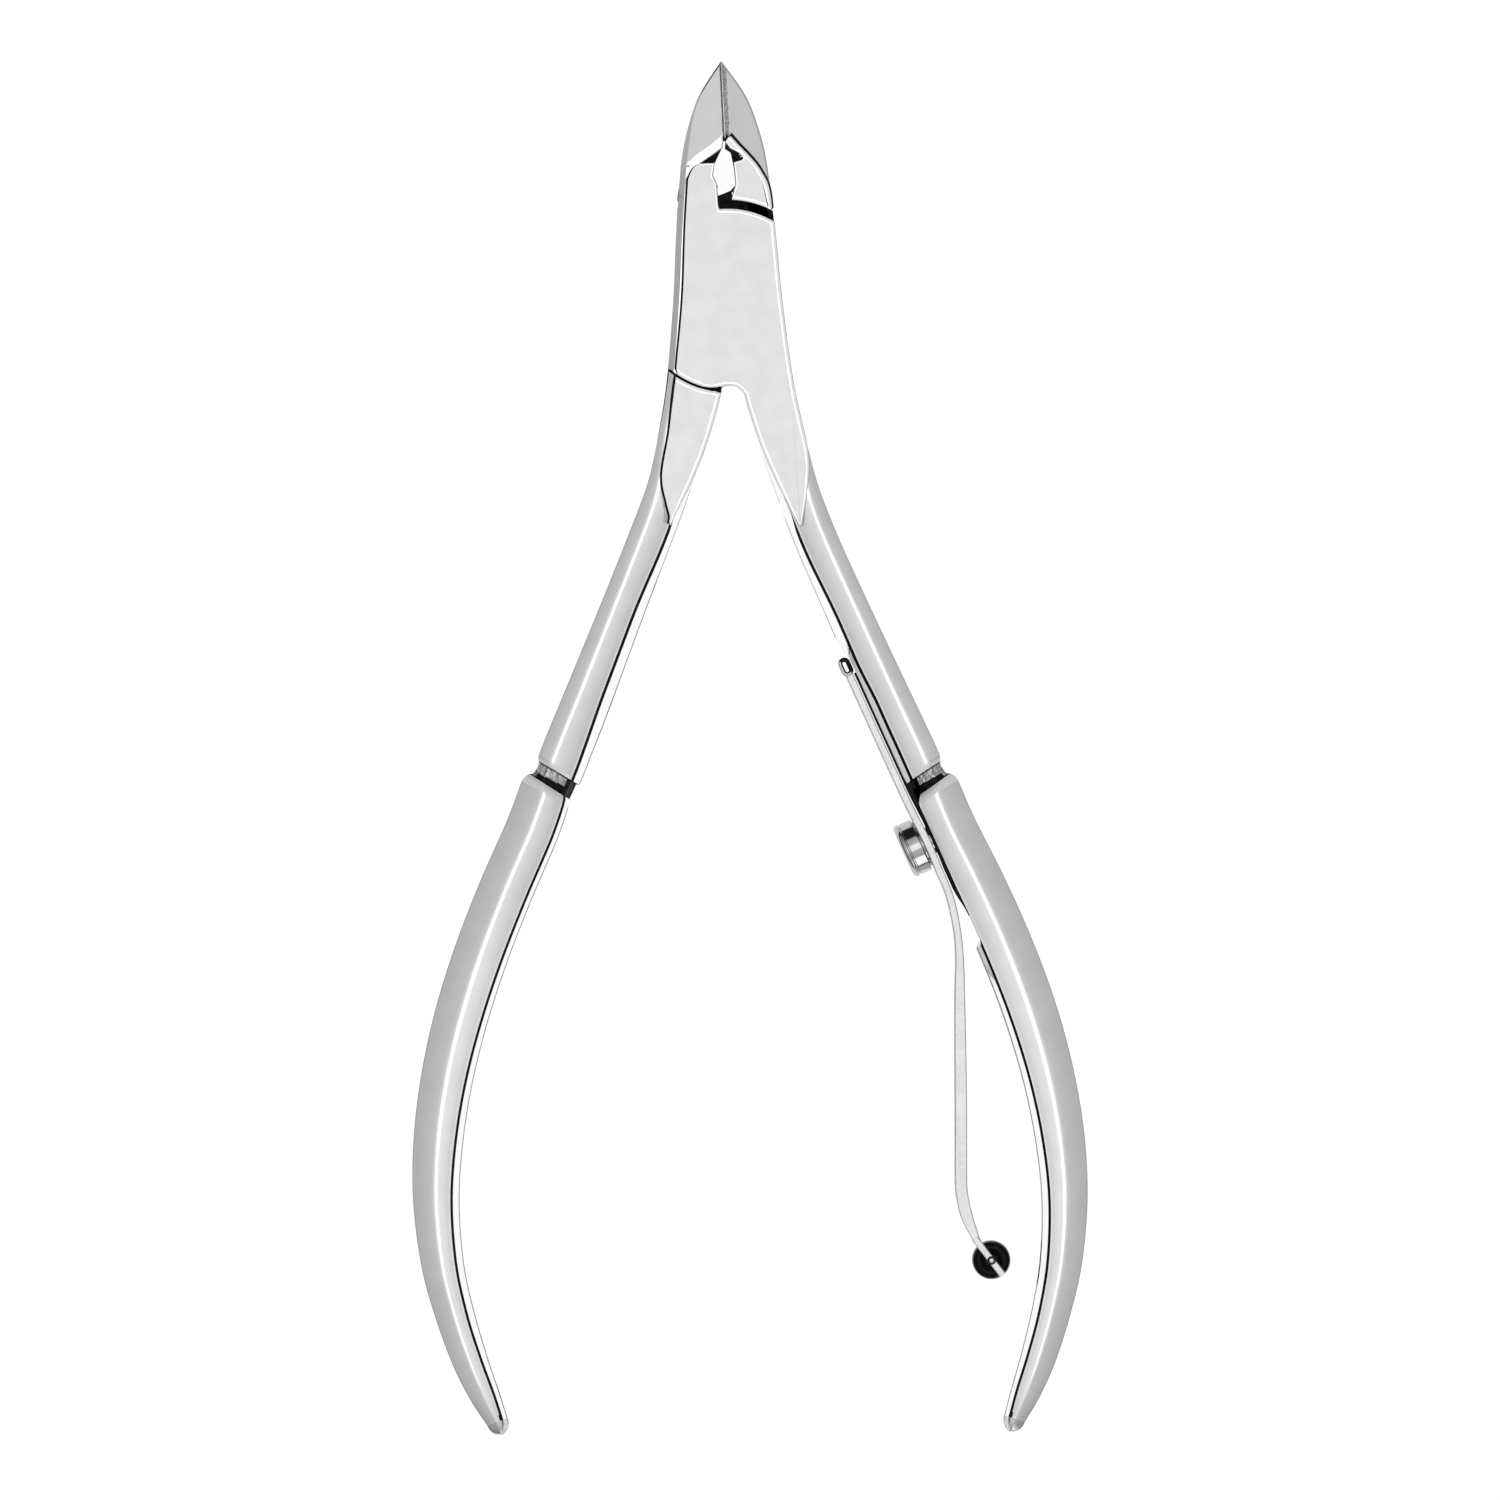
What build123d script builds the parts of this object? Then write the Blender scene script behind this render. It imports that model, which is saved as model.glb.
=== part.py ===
"""Cuticle nipper: a lap-jointed pair of forged levers with a leaf spring and roller.

The tool lies on its back face. +Y points to the jaw tips, +X to the right as seen from
the front and +Z out of the front face. The origin is the pivot axis on the back face.
All sizes are in millimetres.
"""

from build123d import *
import math
import os

# ---- driving dimensions -------------------------------------------------------------

THICKNESS = 4.8                 # the lap joint, front face to back face
MID = THICKNESS / 2             # the plane where the two half-laps slide on each other
LAP_CLEARANCE = 0.03            # between the two half-laps
STEP = 0.45                     # the ground joint faces stand this far proud of the forging
JAW_TIP_Y = 19.95
NECK_END_Y = -12.5              # below here only the joint's raised faces run on
HEAD_END_Y = -19.6
PARTING_GAP = 0.01              # each jaw stops this far short of the parting line
OPENING_ANGLE = 15.0            # jaws closed to fully open

NECK_TOP_RADIUS = 7.76          # a handle's shoulder, round the pivot
PLATE_BOTTOM_RADIUS = 7.60      # the lower edge of a half-lap

RIVET_RADIUS = 1.5
RIVET_HEAD_RADIUS = 2.2
RIVET_HEAD_DEPTH = 0.7
RIVET_CLEARANCE = 0.02

SPRING_HEADING = 22.8           # the leaf's seat leans this far outwards, in degrees
SCREW_FOOT = (16.08, -45.62)    # where the screw's axis meets the seat
LEAF_GAP = 0.10                 # seat to leaf
LEAF_THICKNESS = 0.90
LEAF_TINE_THICKNESS = 0.62
TINE_EYE_RADIUS = 0.66
LEAF_WIDTH = 4.4
LEAF_TAIL = 17.0                # from the screw up to the tip of the rolled eye
FORK_SLOT_WIDTH = 3.0
WASHER_THICKNESS = 0.15
WASHER_RADIUS = 2.0
SCREW_RADIUS = 1.2
SCREW_HEAD_RADIUS = 2.35
SCREW_HEAD_HEIGHT = 1.66
SCREW_GRIP = 2.6                # thread length inside the handle
RUNNING_GAP = 0.03

ROLLER_CENTRE = (19.92, -81.05)
ROLLER_RADIUS = 1.6
ROLLER_LENGTH = 2.8
AXLE_RADIUS = 0.38
TINE_WAY = (0.584, -0.812)      # the direction that the fork's tines point

# Half the head's width, from the jaw tip down to the start of the handles.
HEAD_HALF_WIDTH = [
    (0.30, 19.85),
    (1.95, 17.10),
    (2.95, 14.40),
    (3.55, 11.70),
    (3.90, 8.40),
    (4.20, 5.00),
    (4.55, 0.00),
    (5.29, -6.80),
    (6.20, -11.60),
    (7.03, -15.00),
    (8.30, -18.30),
    (9.05, -20.00),
]

# The crotch between the two necks, right-hand half.
CROTCH = [(0.0, -7.20), (0.72, -7.33), (1.05, -7.95), (1.55, -10.05), (2.62, -13.35), (5.10, -20.00)]

# The relief window between the jaws: its wall on each lever, from the heel of the blades down.
FRONT_WINDOW = [
    (-0.05, 13.20), (-0.14, 12.65), (-0.70, 11.70), (-1.00, 10.35), (-0.67, 9.65), (-0.59, 7.90),
]
REAR_WINDOW = [
    (-0.22, 13.20), (-0.56, 12.65), (-0.72, 11.50), (-0.97, 9.60), (-0.62, 9.10), (-0.62, 8.20),
]

# Edges of the raised joint face, seen from the lever's own front: jaw shoulder, then side.
JAW_SHOULDER = [
    (0.30, 13.25), (-1.10, 12.75), (-2.25, 11.95), (-2.75, 11.10), (-3.12, 9.80), (-3.45, 5.50),
]
SIDE_LINE = [(-3.45, 5.50), (-3.80, 0.00), (-4.50, -5.90), (-5.10, -9.50)]
HIDDEN_SHOULDER = [(0.30, 13.75), (-1.30, 12.85), (-2.75, 11.20), (-3.55, 9.70), (-3.92, 7.30)]
NECK_LINE = [(5.10, -9.50), (5.87, -14.60), (5.58, -16.90), (5.45, -18.60)]

# Handle sections, for a handle on the right: the inner edge point, the heading away from
# straight down (degrees), the width across and the depth front to back.
UPPER_HANDLE = [
    (1.56, -10.10, 18.6, 4.16, 3.90),
    (2.62, -13.35, 19.8, 3.88, 3.90),
    (3.66, -16.20, 21.4, 3.60, 3.90),
    (4.72, -19.00, 22.4, 3.63, 3.90),
    (7.60, -26.00, 22.0, 3.74, 4.00),
    (10.80, -34.00, 22.4, 4.06, 4.20),
    (12.95, -39.05, 24.0, 4.20, 4.30),
]
WAIST = [
    (13.10, -39.35, 25.0, 4.16, 4.20),
    (13.52, -39.95, 26.0, 3.90, 3.66),
    (13.85, -40.75, 26.5, 4.02, 3.62),
    (14.00, -41.30, 27.0, 4.30, 3.80),
]
LOWER_HANDLE = [
    (14.05, -41.45, 26.5, 4.42, 4.50),
    (15.53, -45.00, 25.0, 4.56, 4.66),
    (17.83, -50.00, 24.2, 4.62, 4.70),
    (19.93, -55.00, 21.2, 4.62, 4.70),
    (21.71, -60.00, 17.6, 4.56, 4.70),
    (23.11, -65.00, 13.2, 4.40, 4.60),
    (24.05, -70.00, 8.0, 4.20, 4.50),
    (24.50, -75.00, 1.4, 3.90, 4.30),
    (24.28, -80.00, -6.2, 3.58, 4.10),
    (23.56, -84.00, -12.0, 3.30, 3.80),
    (22.52, -88.00, -16.4, 2.98, 3.40),
    (21.60, -91.00, -18.0, 2.50, 2.90),
    (20.95, -93.20, -18.5, 1.80, 2.20),
    (20.75, -94.20, -18.5, 0.90, 1.20),
]
HANDLE_BLEND = (-12.0, -22.0)   # the neck's squarer section turns into the handle's facets here
RIGHT_DROP = 0.9                # the right handle is set this much lower than the left
RIGHT_LEAN = 0.0042             # and leans in by this much for each millimetre down


# ---- small helpers ------------------------------------------------------------------

ON_BASE = (Align.CENTER, Align.CENTER, Align.MIN)

def prism(points, low, high):
    """A straight-sided block on a closed outline."""
    return extrude(Pos(0, 0, low) * make_face(Polyline(*points, close=True)), amount=high - low)


def drum(radius, low, high):
    """A cylinder round the pivot."""
    return Pos(0, 0, low) * Cylinder(radius, high - low, align=ON_BASE)


def turned_over(shape):
    """Half a turn about the tool's long axis: a lever in front becomes a lever behind."""
    return shape.rotate(Axis((0, 0, MID), (0, 1, 0)), 180)


def mirrored(points):
    return [(-x, y) for x, y in points]


# ---- the head: jaws, half-lap and neck ------------------------------------------------


def head_stock():
    """The outline of the whole closed head, both levers together, at full thickness."""
    right = Spline(*HEAD_HALF_WIDTH)
    left = Spline(*mirrored(HEAD_HALF_WIDTH))
    tip = ThreePointArc(left @ 0, (0, JAW_TIP_Y), right @ 0)
    crotch = Polyline(*reversed(mirrored(CROTCH)), *CROTCH[1:])
    foot_left = Line(left @ 1, crotch @ 0)
    foot_right = Line(crotch @ 1, right @ 1)
    return extrude(make_face([right, left, tip, crotch, foot_left, foot_right]), amount=THICKNESS)


def jaw_side(window, heel_shift):
    """Everything on the jaw's side of the parting line and the relief window."""
    reach = 14
    parting = [(-PARTING_GAP, JAW_TIP_Y + 1), (-PARTING_GAP + heel_shift, window[0][1] + 0.4)]
    foot = window[-1][0]
    outline = parting + window + [(foot, 0), (-reach, 0), (-reach, JAW_TIP_Y + 1)]
    return prism(outline, 0, THICKNESS)


def neck_side():
    """Everything on the neck's side below the pivot."""
    reach = 14
    return prism([(0.3, -4), (reach, -4), (reach, HEAD_END_Y), (0.3, HEAD_END_Y)], 0, THICKNESS)


def slab(bottom_y, top_y, low, high):
    """A block across the whole head, between two heights along it and two levels."""
    return prism([(-14, bottom_y), (14, bottom_y), (14, top_y), (-14, top_y)], low, high)


def face_step(outline, low, high):
    """The stock outside a raised face, to be taken off its level."""
    return slab(-21, 21, low, high) - prism(outline, low - 1, high + 1)


def above(plane, outline):
    """What lies over a sloping facet inside an outline."""
    block = prism(outline, -2, THICKNESS + 2)
    return split(block, bisect_by=plane, keep=Keep.TOP)


def plane_through(a, b, c):
    """The plane on three points whose normal points up."""
    a, b, c = Vector(*a), Vector(*b), Vector(*c)
    normal = (b - a).cross(c - a)
    if normal.Z < 0:
        normal = normal * -1
    return Plane(origin=a, z_dir=normal)


def head(window, heel_shift, plate_top_radius, jaw_foot_radius, edge_up):
    """A lever's head in front: jaw on the left, half-lap plate, neck on the right."""
    stock = head_stock()
    jaw = stock & jaw_side(window, heel_shift)
    neck = stock & neck_side()
    plate = stock & (drum(plate_top_radius, 0, THICKNESS) - Pos(0, -20, 0) * Box(40, 40, 40))
    lower_plate = stock & (drum(PLATE_BOTTOM_RADIUS, 0, THICKNESS) - Pos(0, 20, 0) * Box(40, 40, 40))
    front_layer = slab(-21, 21, MID + LAP_CLEARANCE / 2, THICKNESS)
    full_jaw = jaw - drum(jaw_foot_radius, -1, MID + LAP_CLEARANCE / 2)
    full_neck = neck - drum(NECK_TOP_RADIUS, -1, MID + LAP_CLEARANCE / 2)
    blank = (plate & front_layer) + (lower_plate & front_layer) + full_jaw + full_neck
    return shaped_head(blank) - blade_grinding(edge_up)


def blade_grinding(edge_up):
    """What is ground off the jaw at the cutting edge: a bevel and a notch on the tool's front
    face, and a hollow behind the blade. edge_up says that the tool's front is the lever's own."""
    edge_bevel = plane_through((-0.36, 13.7, 4.31), (-0.14, 19.9, 3.01), (0.0, 13.7, 4.02))
    bevel = above(edge_bevel, [(-0.5, 12.9), (0.5, 12.9), (0.5, 22), (-0.5, 22)])
    hollow = Pos(0, 13.0, 0.9) * Rot(-90, 0, 0) * Cone(1.7, 0.35, 6.2, align=ON_BASE)
    wedge = prism([(0.2, 12.75), (-1.88, 11.43), (0.2, 11.43)], THICKNESS - 1.1, THICKNESS + 1)
    corners = (0.2, 12.75, THICKNESS), (-1.88, 11.43, THICKNESS), (0.2, 11.43, THICKNESS - 1.0)
    floor = plane_through(*corners)
    removed = bevel + split(wedge, bisect_by=floor, keep=Keep.TOP) + hollow
    return removed if edge_up else mirror(removed, about=Plane.XY.offset(MID))


def shaped_head(blank):
    """The raised faces and the sloping jaw facets."""
    low, high = STEP, THICKNESS - STEP
    right_edge = [(x - 0.25, y) for x, y in HEAD_HALF_WIDTH if -16 < y < 9]
    neck_tip = (5.56, -19.0)
    inner = [(5.00, -17.9), (3.85, -15.4), (1.85, -9.8), (1.30, -7.7)]
    left_edge = JAW_SHOULDER + SIDE_LINE[1:-1] + [(-6, -7.0), (0.8, -7.0)]
    front_face = [(3.9, 14.0)] + right_edge + [neck_tip] + inner + list(reversed(left_edge))
    back_jaw = HIDDEN_SHOULDER + [(-3.92, 0), (5, 0), (5, 13.75)]
    back_neck = [(5.00, 0)] + NECK_LINE + inner + [(0.8, -7.0), (-5.9, -7.0), (-3.9, 0)]
    part = blank - face_step(front_face, high, THICKNESS + 1)
    part = part - (face_step(back_jaw, -1, low) & slab(0, 21, -1, low))
    part = part - (face_step(back_neck, -1, low) & slab(-21, 0, -1, low))
    root = slab(-21, NECK_END_Y, -1, THICKNESS + 1)
    part = part - (face_step(front_face, MID, THICKNESS + 1) & root)
    part = part - (face_step(back_neck, -1, MID) & root)
    facet = plane_through((-0.3, 13.6, high), (-2.7, 11.8, high), (0, 20, 3.00))
    region = [(0.5, 13.3), (-2.3, 12.0), (-3.0, 11.0), (-3.4, 8.0), (-6, 8.0), (-6, 22), (0.5, 22)]
    part = part - above(facet, region)
    back_facet = plane_through((-0.6, 13.7, low), (-3.2, 10.4, low), (0, 20, 1.70))
    behind = [(0.5, 13.8), (-1.3, 12.85), (-2.75, 11.2), (-6, 8.0), (-6, 22), (0.5, 22)]
    block = prism(behind, -2, THICKNESS + 2)
    return part - split(block, bisect_by=back_facet, keep=Keep.BOTTOM)


# ---- the handles ------------------------------------------------------------------------


def blend(y):
    """0 in the neck, 1 once the handle has its full facets."""
    top, bottom = HANDLE_BLEND
    share = min(1.0, max(0.0, (top - y) / (top - bottom)))
    return share * share * (3 - 2 * share)


def section(station, side):
    """One eight-sided handle section: outer wall, ridge, inner bevel and inner wall."""
    inner_x, inner_y, heading, width, depth = station
    share = blend(inner_y)
    lower = inner_y < -41.4
    ridge = 0.47 if lower else 0.06 + 0.30 * share
    bevel = 0.89 if lower else 0.95 - 0.15 * share
    half = depth / 2
    outer_wall = (0.96 - 0.38 * share) * half
    bevel_line = (0.99 - 0.09 * share) * half
    inner_wall = (0.94 - 0.44 * share) * half
    profile = [
        (width, -outer_wall),
        (width, outer_wall),
        (width * (1 - ridge), half),
        (width * (1 - bevel), bevel_line),
        (0, inner_wall),
        (0, -inner_wall),
        (width * (1 - bevel), -bevel_line),
        (width * (1 - ridge), -half),
    ]
    angle = math.radians(heading)
    if side > 0:
        inner_x = inner_x + RIGHT_LEAN * min(0.0, inner_y + 16)
        inner_y = inner_y - RIGHT_DROP * share
    points = []
    for reach, height in profile:
        x = inner_x + reach * math.cos(angle)
        y = inner_y + reach * math.sin(angle)
        points.append((side * x, y, MID + height))
    return make_face(Polyline(*points, close=True))


def handle(side):
    """A handle, with its filed waist. side is 1 on the right and -1 on the left."""
    upper = loft([section(s, side) for s in UPPER_HANDLE])
    waist = loft([section(s, side) for s in [UPPER_HANDLE[-1]] + WAIST], ruled=True)
    step = loft([section(s, side) for s in [WAIST[-1], LOWER_HANDLE[0]]], ruled=True)
    lower = loft([section(s, side) for s in LOWER_HANDLE])
    return upper + waist + step + lower


# ---- the leaf spring's own frame ----------------------------------------------------------


def seat_plane():
    """X runs down the handle, Y is the tool's +Z, and Z points in, away from the handle."""
    heading = math.radians(SPRING_HEADING)
    down = (math.sin(heading), -math.cos(heading), 0)
    inward = (-math.cos(heading), -math.sin(heading), 0)
    return Plane(origin=(*SCREW_FOOT, MID), x_dir=down, z_dir=inward)


def at_seat(along, inward=0.0):
    """A point beside the seat, in the tool's own X and Y."""
    heading = math.radians(SPRING_HEADING)
    x = SCREW_FOOT[0] + along * math.sin(heading) - inward * math.cos(heading)
    y = SCREW_FOOT[1] - along * math.cos(heading) - inward * math.sin(heading)
    return (x, y)


def disc(radius, low, high):
    """A round block on the screw's axis, between two heights over the seat."""
    return seat_plane() * Pos(0, 0, low) * Cylinder(radius, high - low, align=ON_BASE)


# ---- the parts ------------------------------------------------------------------------------


def front_lever():
    """Left jaw, front half-lap and right handle, with the spring's seat and screw hole."""
    body = head(FRONT_WINDOW, 0.15, 7.55, 9.40, edge_up=True) + handle(1)
    seat = seat_plane() * Pos(-4.4, 0, 2) * Box(28.2, 12, 4)
    body = body - seat - disc(SCREW_RADIUS, -SCREW_GRIP, 1)
    return body - rivet_shape(0)


def rear_lever():
    """Right jaw, rear half-lap and left handle: the front lever's pattern, turned over."""
    body = turned_over(head(REAR_WINDOW, -0.17, 8.75, 8.33, edge_up=False)) + handle(-1)
    return body - rivet_shape(RIVET_CLEARANCE)


def rivet_shape(clearance):
    """A rivet countersunk into both faces, or the hole for it."""
    radius = RIVET_RADIUS + clearance
    head_radius = RIVET_HEAD_RADIUS + clearance
    shank = drum(radius, 0, THICKNESS)
    back = Cone(head_radius, radius, RIVET_HEAD_DEPTH, align=ON_BASE)
    front = Cone(radius, head_radius, RIVET_HEAD_DEPTH, align=ON_BASE)
    front = Pos(0, 0, THICKNESS - RIVET_HEAD_DEPTH) * front
    return shank + back + front


def along_tine(distance):
    """A point on the fork's line, counted from the roller's axis."""
    return (ROLLER_CENTRE[0] + distance * TINE_WAY[0], ROLLER_CENTRE[1] + distance * TINE_WAY[1])


def leaf_path():
    """The leaf's centre line, from the eye down past the screw to the fork's end."""
    lift = LEAF_GAP + LEAF_THICKNESS / 2
    tail = at_seat(-LEAF_TAIL + 0.9, lift)
    bend = at_seat(2.6, lift)
    heading = math.radians(SPRING_HEADING)
    start = Line(tail, bend)
    free_top = (17.93, -55.6)
    free_end = (17.58, -74.2)
    drop = (free_end[0] - free_top[0], free_end[1] - free_top[1])
    upper_bend = Spline(bend, free_top, tangents=((math.sin(heading), -math.cos(heading)), drop))
    free = Line(free_top, free_end)
    tine_start = along_tine(-1.6)
    tine_end = along_tine(1.5)
    lower_bend = Spline(free_end, tine_start, tangents=(drop, TINE_WAY))
    tine = Line(tine_start, tine_end)
    return [start, upper_bend, free, lower_bend, tine]


def leaf_outline():
    """The strip seen edge on: the centre line with half the thickness laid off each side."""
    left, right = [], []
    pieces = leaf_path()
    steps = [2, 6, 2, 7, 2]
    for number, (piece, count) in enumerate(zip(pieces, steps)):
        for step in range(count):
            u = step / count
            place, way = piece @ u, piece % u
            taper = u if number == 3 else (1.0 if number > 3 else 0.0)
            half = (LEAF_THICKNESS + taper * (LEAF_TINE_THICKNESS - LEAF_THICKNESS)) / 2
            left.append((place.X + half * way.Y, place.Y - half * way.X))
            right.append((place.X - half * way.Y, place.Y + half * way.X))
    end, way = pieces[-1] @ 1, pieces[-1] % 1
    half = LEAF_TINE_THICKNESS / 2
    left.append((end.X + half * way.Y, end.Y - half * way.X))
    right.append((end.X - half * way.Y, end.Y + half * way.X))
    nose = (end.X + half * way.X, end.Y + half * way.Y)
    cap = ThreePointArc(left[-1], nose, right[-1])
    back = Line(right[0], left[0])
    return make_face([Polyline(*left), cap, Polyline(*right), back])


def leaf_spring():
    """A flat steel leaf with a rolled eye above, a screw hole and a forked end below."""
    low = MID - LEAF_WIDTH / 2
    strip = extrude(Pos(0, 0, low) * leaf_outline(), amount=LEAF_WIDTH)
    eye_centre = at_seat(-LEAF_TAIL + 1.15, LEAF_GAP + 0.62)
    turn = -90 + SPRING_HEADING
    eye_face = SlotOverall(2.3, 1.24) - SlotOverall(1.25, 0.42)
    eye = extrude(Pos(*eye_centre, low) * Rot(0, 0, turn) * eye_face, amount=LEAF_WIDTH)
    bore = extrude(Pos(*eye_centre, low) * Rot(0, 0, turn) * SlotOverall(1.25, 0.42), amount=LEAF_WIDTH)
    tine_eye = Pos(*ROLLER_CENTRE, MID) * Cylinder(TINE_EYE_RADIUS, LEAF_WIDTH)
    leaf = (strip - bore) + eye + tine_eye
    leaf = leaf - disc(SCREW_RADIUS + RUNNING_GAP, -1, 3)
    slot_turn = math.degrees(math.atan2(TINE_WAY[1], TINE_WAY[0]))
    slot = Pos(*along_tine(0.75), MID) * Rot(0, 0, slot_turn) * Box(6.5, 3.2, FORK_SLOT_WIDTH)
    axle_hole = Pos(*ROLLER_CENTRE, MID) * Cylinder(AXLE_RADIUS, LEAF_WIDTH + 1)
    return leaf - slot - axle_hole


def spring_screw():
    """A slotted cheese-head screw with a rounded rim."""
    head_low = LEAF_GAP + LEAF_THICKNESS + RUNNING_GAP + WASHER_THICKNESS
    top = head_low + SCREW_HEAD_HEIGHT
    cap = Pos(0, 0, head_low) * Cylinder(SCREW_HEAD_RADIUS, SCREW_HEAD_HEIGHT, align=ON_BASE)
    cap = fillet(cap.edges().group_by(Axis.Z)[-1], radius=0.4)
    slot = Pos(0, 0, top) * Box(6, 0.8, 1.6)
    shank = Pos(0, 0, -SCREW_GRIP) * Cylinder(SCREW_RADIUS, head_low + SCREW_GRIP, align=ON_BASE)
    return seat_plane() * ((cap - slot) + shank)


def spring_washer():
    """A thin washer between the leaf and the screw's head."""
    low = LEAF_GAP + LEAF_THICKNESS + RUNNING_GAP / 2
    return disc(WASHER_RADIUS, low, low + WASHER_THICKNESS) - disc(SCREW_RADIUS + RUNNING_GAP, -1, 3)


def roller():
    """A small barrel wheel, crowned at its rims."""
    wheel = Cylinder(ROLLER_RADIUS, ROLLER_LENGTH)
    wheel = fillet(wheel.edges().filter_by(GeomType.CIRCLE), radius=0.3)
    return Pos(*ROLLER_CENTRE, MID) * (wheel - Cylinder(AXLE_RADIUS + RUNNING_GAP, 5))


def roller_axle():
    """The pin through both tines, peened flush."""
    return Pos(*ROLLER_CENTRE, MID) * Cylinder(AXLE_RADIUS, LEAF_WIDTH)


PARTS = {
    "front_lever": front_lever,
    "rear_lever": rear_lever,
    "pivot_rivet": lambda: rivet_shape(0),
    "leaf_spring": leaf_spring,
    "spring_screw": spring_screw,
    "spring_washer": spring_washer,
    "roller": roller,
    "roller_axle": roller_axle,
}

os.makedirs("parts", exist_ok=True)
for name, make in PARTS.items():
    export_step(make(), f"parts/{name}.step")
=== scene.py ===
"""Looks of the cuticle nipper: polished forged levers, leaf spring, screw and black roller.

Everything is laid out in millimetres in the tool's own frame: +Y to the jaw tips, +X to the
right seen from the front, +Z out of the front face, origin on the pivot axis at the back face.
A lever is drawn once as it lies in front, with its jaw on the left; turned over about the
tool's long axis, the same pattern makes the lever behind.
"""

import math

import bmesh
import bpy
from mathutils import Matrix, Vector


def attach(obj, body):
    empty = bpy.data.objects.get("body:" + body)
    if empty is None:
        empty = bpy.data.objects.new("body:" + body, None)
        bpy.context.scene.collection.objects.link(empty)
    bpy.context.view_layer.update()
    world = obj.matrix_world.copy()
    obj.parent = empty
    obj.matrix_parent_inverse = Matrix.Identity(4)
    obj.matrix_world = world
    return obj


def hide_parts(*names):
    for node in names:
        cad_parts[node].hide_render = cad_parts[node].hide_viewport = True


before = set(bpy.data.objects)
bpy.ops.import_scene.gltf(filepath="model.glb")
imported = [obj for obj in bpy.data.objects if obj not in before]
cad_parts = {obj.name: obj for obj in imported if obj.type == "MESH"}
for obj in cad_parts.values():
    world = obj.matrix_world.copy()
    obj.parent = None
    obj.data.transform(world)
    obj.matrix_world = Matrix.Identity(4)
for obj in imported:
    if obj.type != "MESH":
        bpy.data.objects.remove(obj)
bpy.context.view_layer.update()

MM = 0.001
THICKNESS = 4.8
MID = THICKNESS / 2
LAP = 0.015                 # half the clearance between the two half-laps
TERRACE = 4.35              # the forging's level beside the raised joint face
RECESS = 3.3                # floor of the notch beside the window, in front
BACK_RECESS = 1.5           # and on the far side
JAW_TIP_Y = 19.95
HEEL_Y = 13.4               # where the cutting line ends at the window
FOOT_X = -0.62              # where the window's wall ends at the jaw's foot
PARTING_GAP = 0.012
HORIZON_TILT = math.tan(math.radians(42))   # a facet this steep mirrors the dark horizon
RIVET_HEAD_RADIUS = 2.2
SEAM_RADIUS = 7.80          # a handle's start, beside the other lever's half-lap

# How far a polished-over edge drops, as a share of its width.
EDGE_ROLL = 0.16

# The levers' finishes, and those of a smaller piece. DARK and SHADED are painted shade, and the bright
# diffuse finish after DARK is a painted highlight.
SATIN, POLISHED, EDGE, FILED, DARK, PAINTED_HIGHLIGHT, WALL = range(7)
BRIGHT, SHADED = range(2)
LEFT, RIGHT = -1, 1

# Half the head's width, from the jaw tip down to the start of the handles.
HALF_WIDTH = [
    (0.03, 19.95), (0.17, 19.80), (1.95, 17.10), (2.95, 14.40), (3.55, 11.70), (3.90, 8.40),
    (4.20, 5.00), (4.55, 0.00), (5.29, -6.80), (6.20, -11.60), (7.03, -15.00), (8.30, -18.30),
]
# Handle sections: inner edge x and y, heading off straight down, width and depth.
UPPER_HANDLE = [
    (0.98, -8.00, 24.0, 4.50, 3.90), (1.56, -10.10, 18.6, 4.20, 3.90),
    (2.62, -13.35, 19.8, 3.90, 3.90), (3.66, -16.20, 21.4, 3.62, 3.90),
    (4.72, -19.00, 22.4, 3.63, 3.90), (7.60, -26.00, 22.0, 3.74, 4.00),
    (10.80, -34.00, 22.4, 4.06, 4.20), (12.50, -38.05, 26.5, 4.16, 4.28),
    (13.20, -39.72, 30.0, 4.18, 4.28),
]
WAIST = [
    (13.34, -40.02, 31.0, 4.14, 4.22), (13.50, -40.32, 31.8, 3.98, 4.00),
    (13.80, -40.28, 32.3, 3.60, 3.70), (14.00, -40.72, 33.5, 3.58, 3.60),
    (14.22, -41.15, 34.5, 3.64, 3.60), (14.38, -41.46, 35.3, 3.76, 3.70),
    (14.22, -41.62, 34.0, 4.18, 4.15), (14.25, -41.78, 32.0, 4.42, 4.46),
]
LOWER_HANDLE = [
    (14.42, -42.05, 29.0, 4.50, 4.60), (15.53, -45.00, 25.0, 4.56, 4.68),
    (17.83, -50.00, 24.2, 4.62, 4.70), (19.93, -55.00, 21.2, 4.62, 4.70),
    (21.71, -60.00, 17.6, 4.56, 4.70), (23.11, -65.00, 13.2, 4.40, 4.60),
    (24.05, -70.00, 8.0, 4.20, 4.50), (24.50, -75.00, 1.4, 3.90, 4.30),
    (24.28, -80.00, -6.2, 3.58, 4.10), (23.56, -84.00, -12.0, 3.30, 3.80),
    (22.52, -88.00, -16.4, 2.98, 3.40), (21.60, -91.00, -18.0, 2.50, 2.90),
    (20.97, -93.20, -18.5, 1.84, 2.20),
]
RIGHT_DROP = 0.9            # the right handle sits this much lower than the left
RIGHT_LEAN = 0.0042         # and leans in by this much for each millimetre down

# Stretches of a handle, as distances below the pivot.
NECK = (11.0, 19.5)         # the flat neck turns into the faceted handle
WAIST_END = (41.35, 42.2)   # the handle widens again below the filed waist
FLAT_BEVEL_START = (28.0, 29.2)   # the flatter bevel beside the leaf, with its painted highlight, begins
FLAT_BEVEL_END = (40.8, 41.4)     # and ends

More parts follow.
